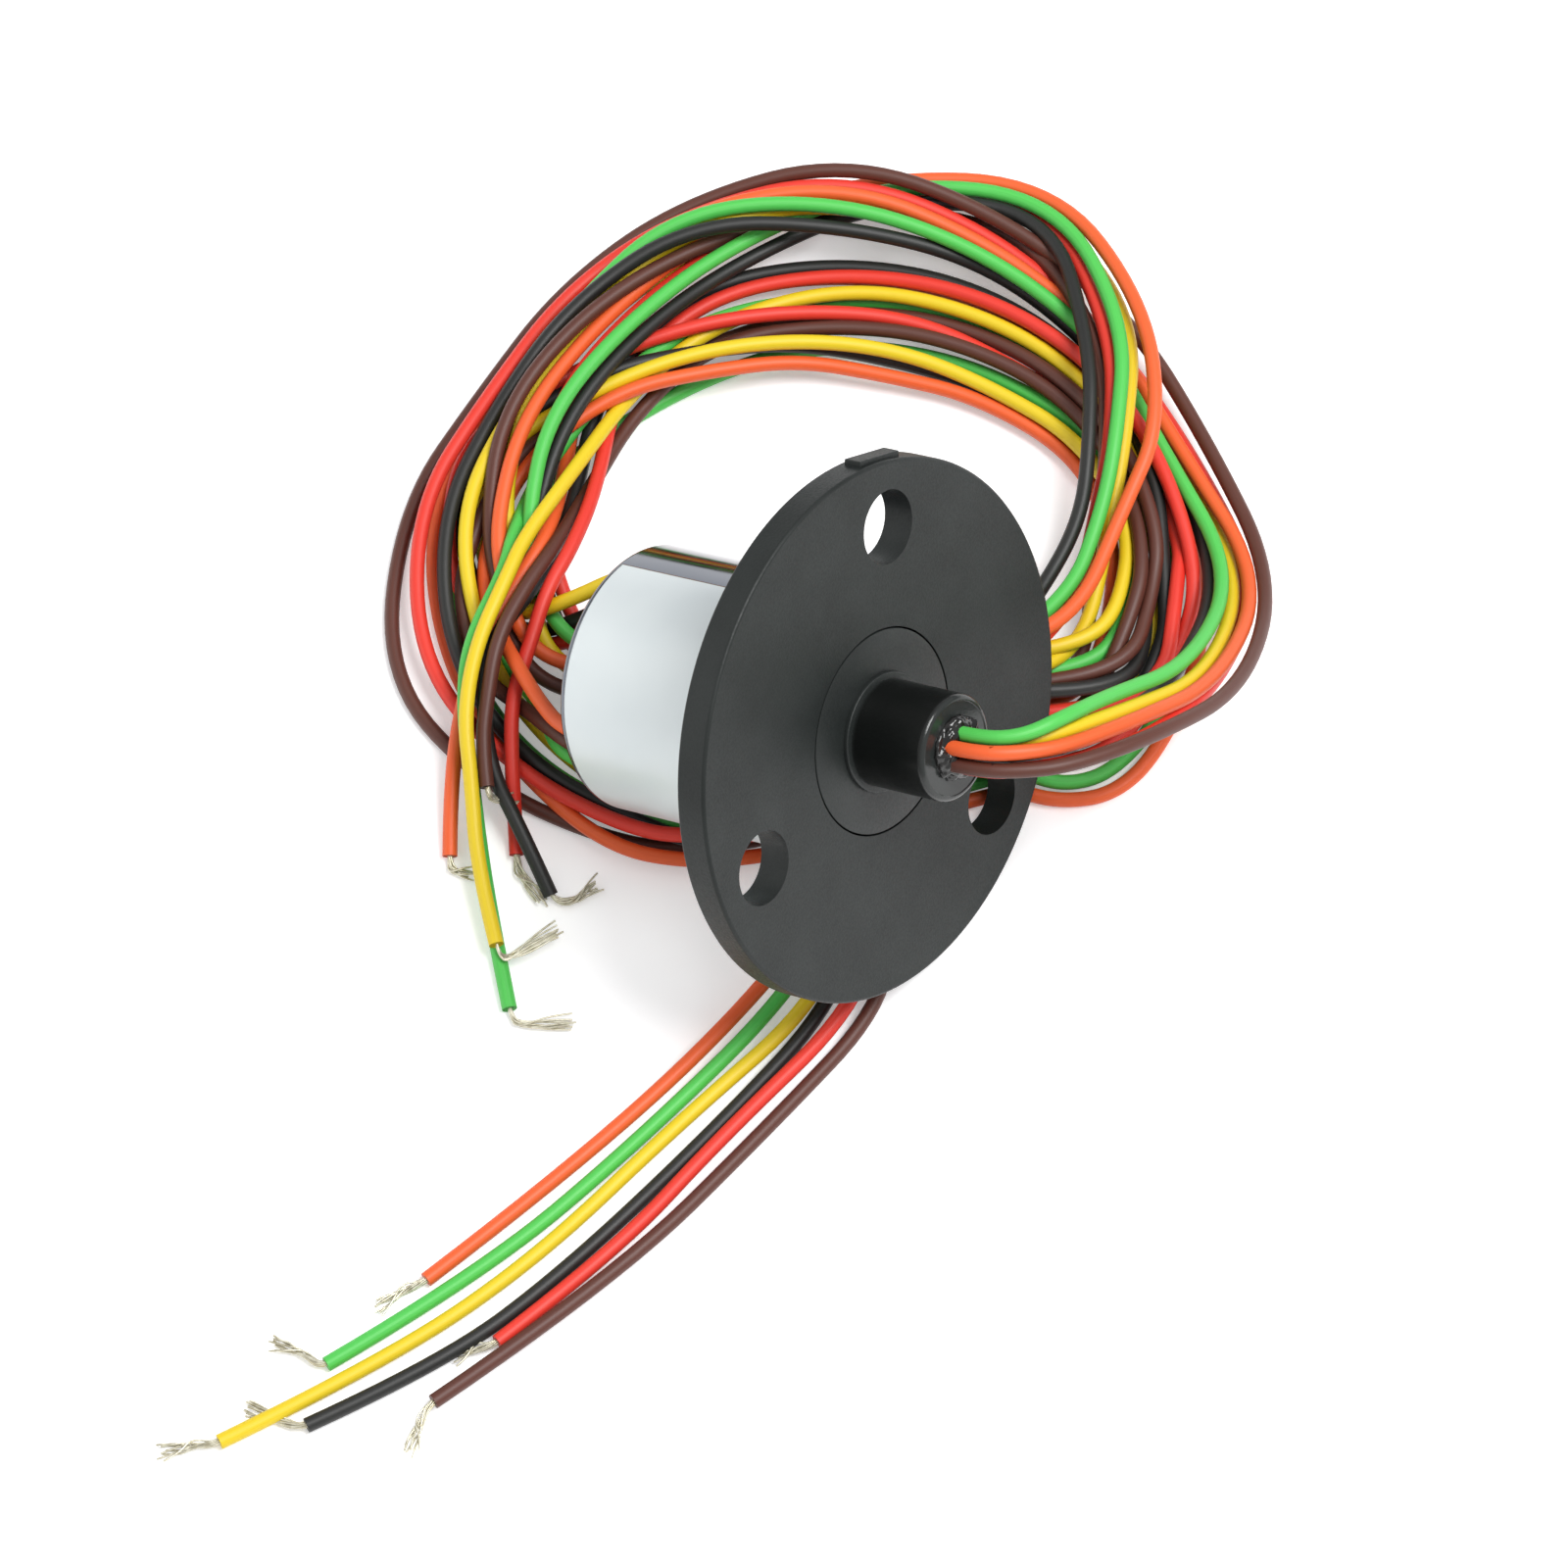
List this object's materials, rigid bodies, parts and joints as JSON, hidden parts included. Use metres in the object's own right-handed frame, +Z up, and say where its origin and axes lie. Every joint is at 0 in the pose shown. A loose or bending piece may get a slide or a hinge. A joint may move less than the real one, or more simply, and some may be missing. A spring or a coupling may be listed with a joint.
{
  "type": "capsule slip ring",
  "caption": "Flanged capsule slip ring that passes circuits through a turning joint: ball-bearing rotor, rings and wire brushes, coloured flying leads.",
  "frame": {"origin": "on the surface it lies on, below the middle of the capsule's box, measured without the leads", "axes": "+Z up from that surface, +Y across the flange, and the shaft points to +X and up along the slope at which the capsule lies"},
  "size_m": [0.0723, 0.1344, 0.0406],
  "materials": {
    "housing_plastic": "charcoal plastic, fine moulded grain, soft sheen",
    "rotor_plastic": "charcoal plastic, smoother and a little glossier on the shaft",
    "sleeve_metal": "thin bright metal sleeve, nearly mirror smooth",
    "cap_plastic": "dark moulded plastic",
    "black_resin": "glossy black resin",
    "bearing_steel": "ground bearing steel",
    "cage_brass": "thin brass-coloured cage",
    "ring_gold": "gold-plated brass",
    "barrier_plastic": "dark insulating plastic",
    "board_green": "green circuit board",
    "brush_gold": "gold alloy wire",
    "inner_wire": "insulated wire",
    "lead_orange": "smooth silicone insulation, soft gloss",
    "lead_green": "smooth silicone insulation, soft gloss",
    "lead_yellow": "smooth silicone insulation, soft gloss",
    "lead_black": "smooth silicone insulation, soft gloss",
    "lead_red": "smooth silicone insulation, soft gloss",
    "lead_brown": "smooth silicone insulation, soft gloss",
    "tinned_strands": "bare tinned copper strands"
  },
  "bodies": {
    "stator": {"barrel_sleeve": "sleeve_metal", "brush_board_left": "board_green", "brush_board_right": "board_green", "brush_pair_1": "brush_gold", "brush_pair_2": "brush_gold", "brush_pair_3": "brush_gold", "brush_pair_4": "brush_gold", "brush_pair_5": "brush_gold", "brush_pair_6": "brush_gold", "front_bearing_outer_ring": "bearing_steel", "housing": "housing_plastic", "rear_bearing_outer_ring": "bearing_steel", "rear_cap": "cap_plastic", "rear_potting": "black_resin", "rotor_lead_black": "lead_black", "rotor_lead_brown": "lead_brown", "rotor_lead_green": "lead_green", "rotor_lead_orange": "lead_orange", "rotor_lead_red": "lead_red", "rotor_lead_yellow": "lead_yellow", "rotor_strands_black": "tinned_strands", "rotor_strands_brown": "tinned_strands", "rotor_strands_green": "tinned_strands", "rotor_strands_orange": "tinned_strands", "rotor_strands_red": "tinned_strands", "rotor_strands_yellow": "tinned_strands", "stator_inner_wires": "inner_wire", "stator_lead_black": "lead_black", "stator_lead_brown": "lead_brown", "stator_lead_green": "lead_green", "stator_lead_orange": "lead_orange", "stator_lead_red": "lead_red", "stator_lead_yellow": "lead_yellow", "stator_strands_black": "tinned_strands", "stator_strands_brown": "tinned_strands", "stator_strands_green": "tinned_strands", "stator_strands_orange": "tinned_strands", "stator_strands_red": "tinned_strands", "stator_strands_yellow": "tinned_strands"},
    "rotor": {"rotor_core": "rotor_plastic", "front_glue": "black_resin", "rotor_inner_wires": "inner_wire", "front_bearing_inner_ring": "bearing_steel", "rear_bearing_inner_ring": "bearing_steel", "slip_ring_1": "ring_gold", "slip_ring_2": "ring_gold", "slip_ring_3": "ring_gold", "slip_ring_4": "ring_gold", "slip_ring_5": "ring_gold", "slip_ring_6": "ring_gold", "ring_barrier_1": "barrier_plastic", "ring_barrier_2": "barrier_plastic", "ring_barrier_3": "barrier_plastic", "ring_barrier_4": "barrier_plastic", "ring_barrier_5": "barrier_plastic", "ring_barrier_6": "barrier_plastic"},
    "front_ball_set": {"front_bearing_balls": "bearing_steel", "front_bearing_cage": "cage_brass"},
    "rear_ball_set": {"rear_bearing_balls": "bearing_steel", "rear_bearing_cage": "cage_brass"}
  },
  "joints": [
    {"name": "rotor_spin", "type": "hinge", "parent": "stator", "child": "rotor", "pos_m": [0.00828, 0, 0.02102], "axis": [0.8865, 0, 0.4628], "continuous": true, "deforming": ["rotor_lead_yellow", "rotor_lead_green", "rotor_lead_black", "rotor_lead_red", "rotor_lead_brown", "rotor_lead_orange"]},
    {"name": "front_ball_orbit", "type": "hinge", "parent": "stator", "child": "front_ball_set", "pos_m": [0.00828, 0, 0.02102], "axis": [0.8865, 0, 0.4628], "continuous": true},
    {"name": "rear_ball_orbit", "type": "hinge", "parent": "stator", "child": "rear_ball_set", "pos_m": [0.00828, 0, 0.02102], "axis": [0.8865, 0, 0.4628], "continuous": true}
  ],
  "couplings": [
    {"joint": "front_ball_orbit", "follows": "rotor_spin", "ratio": 0.4182},
    {"joint": "rear_ball_orbit", "follows": "rotor_spin", "ratio": 0.4313}
  ]
}
